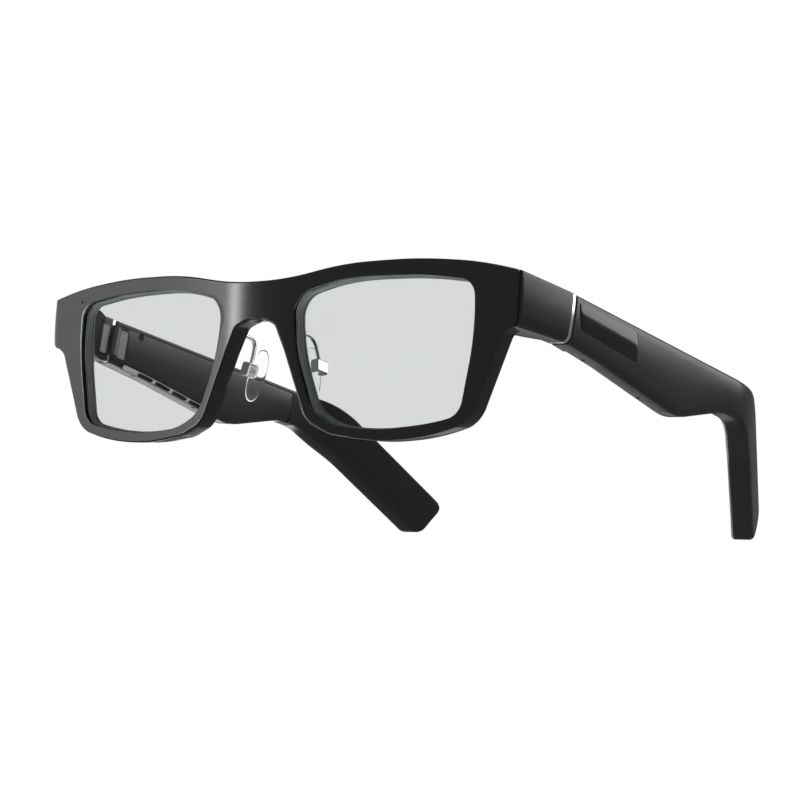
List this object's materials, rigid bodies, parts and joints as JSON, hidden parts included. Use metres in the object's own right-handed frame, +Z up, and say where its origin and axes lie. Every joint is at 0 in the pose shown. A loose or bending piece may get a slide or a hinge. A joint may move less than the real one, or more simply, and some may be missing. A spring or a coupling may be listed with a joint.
{
  "type": "smart glasses",
  "caption": "Smart glasses: black wrapped front with clear display lenses, silver trim rings, and folding electronic temples that turn down and in behind the ears.",
  "frame": {"origin": "middle of the object's box in X and Y, on the plane that the rims and the temple tips rest on", "axes": "+X to the wearer's left, +Y back along the temples, +Z up from the plane that the open glasses rest on"},
  "size_m": [0.1536, 0.1466, 0.0414],
  "materials": {
    "frame_black": "satin black moulded plastic",
    "inner_black": "satin dark inner moulding",
    "temple_black": "satin black moulded plastic",
    "cover_black": "satin dark inner cover",
    "touch_gloss": "glossy black inlay",
    "cover_glass": "clear hard-coated lens",
    "guide_glass": "clear waveguide, greenish edge",
    "rear_glass": "clear lens with a faint grey tint",
    "gasket_foam": "thin black foam",
    "ring_silver": "polished bright trim",
    "hinge_steel": "stainless steel",
    "screw_steel": "dark steel",
    "engine_metal": "dark anodised housing",
    "mic_metal": "plated can",
    "flex_amber": "amber polyimide film",
    "battery_foil": "pouch foil",
    "board_green": "solder mask",
    "speaker_black": "speaker frame",
    "mesh_steel": "fine black mesh",
    "core_steel": "spring steel strip",
    "contact_gold": "gold-plated contact",
    "sensor_window": "dark infrared window",
    "pad_wire": "polished wire",
    "pad_box_chrome": "polished metal box",
    "pad_silicone": "clear soft silicone"
  },
  "bodies": {
    "front": {"bridge_flex_cable": "flex_amber", "frame_screws": "screw_steel", "front_frame": "frame_black", "left_cover_lens": "cover_glass", "left_engine_cover": "inner_black", "left_hinge_front_leaf": "hinge_steel", "left_hinge_screw": "screw_steel", "left_lens_gasket": "gasket_foam", "left_light_engine": "engine_metal", "left_microphone": "mic_metal", "left_nose_pad_arm": "pad_wire", "left_nose_pad_box": "pad_box_chrome", "left_nose_pad_pin": "pad_wire", "left_rear_lens": "rear_glass", "left_trim_ring": "ring_silver", "left_waveguide": "guide_glass", "rear_frame": "inner_black", "right_cover_lens": "cover_glass", "right_engine_cover": "inner_black", "right_hinge_front_leaf": "hinge_steel", "right_hinge_screw": "screw_steel", "right_lens_gasket": "gasket_foam", "right_light_engine": "engine_metal", "right_microphone": "mic_metal", "right_nose_pad_arm": "pad_wire", "right_nose_pad_box": "pad_box_chrome", "right_nose_pad_pin": "pad_wire", "right_rear_lens": "rear_glass", "right_trim_ring": "ring_silver", "right_waveguide": "guide_glass"},
    "left_temple": {"left_battery": "battery_foil", "left_charging_contacts": "contact_gold", "left_circuit_board": "board_green", "left_hinge_leaf_screws": "screw_steel", "left_hinge_temple_leaf": "hinge_steel", "left_speaker": "speaker_black", "left_speaker_mesh": "mesh_steel", "left_temple_case": "temple_black", "left_temple_cover": "cover_black", "left_tip_core": "core_steel", "left_touch_panel": "touch_gloss"},
    "right_temple": {"right_battery": "battery_foil", "right_circuit_board": "board_green", "right_hinge_leaf_screws": "screw_steel", "right_hinge_temple_leaf": "hinge_steel", "right_speaker": "speaker_black", "right_speaker_mesh": "mesh_steel", "right_temple_case": "temple_black", "right_temple_cover": "cover_black", "right_tip_core": "core_steel", "right_touch_panel": "touch_gloss", "right_wear_sensor": "sensor_window"},
    "left_nose_pad": {"left_nose_pad": "pad_silicone"},
    "right_nose_pad": {"right_nose_pad": "pad_silicone"}
  },
  "joints": [
    {"name": "left_temple_fold", "type": "hinge", "parent": "front", "child": "left_temple", "pos_m": [0.0705, -0.0498, 0.03101], "axis": [0, 0.0399, 0.9992], "range_deg": [0, 85]},
    {"name": "right_temple_fold", "type": "hinge", "parent": "front", "child": "right_temple", "pos_m": [-0.0705, -0.0498, 0.03101], "axis": [0, -0.0399, -0.9992], "range_deg": [0, 76]},
    {"name": "left_pad_rock", "type": "hinge", "parent": "front", "child": "left_nose_pad", "pos_m": [0.01111, -0.05951, 0.01938], "axis": [0, 0.9992, -0.0399], "range_deg": [-8, 8]},
    {"name": "right_pad_rock", "type": "hinge", "parent": "front", "child": "right_nose_pad", "pos_m": [-0.01111, -0.05951, 0.01938], "axis": [0, 0.9992, -0.0399], "range_deg": [-8, 8]}
  ]
}
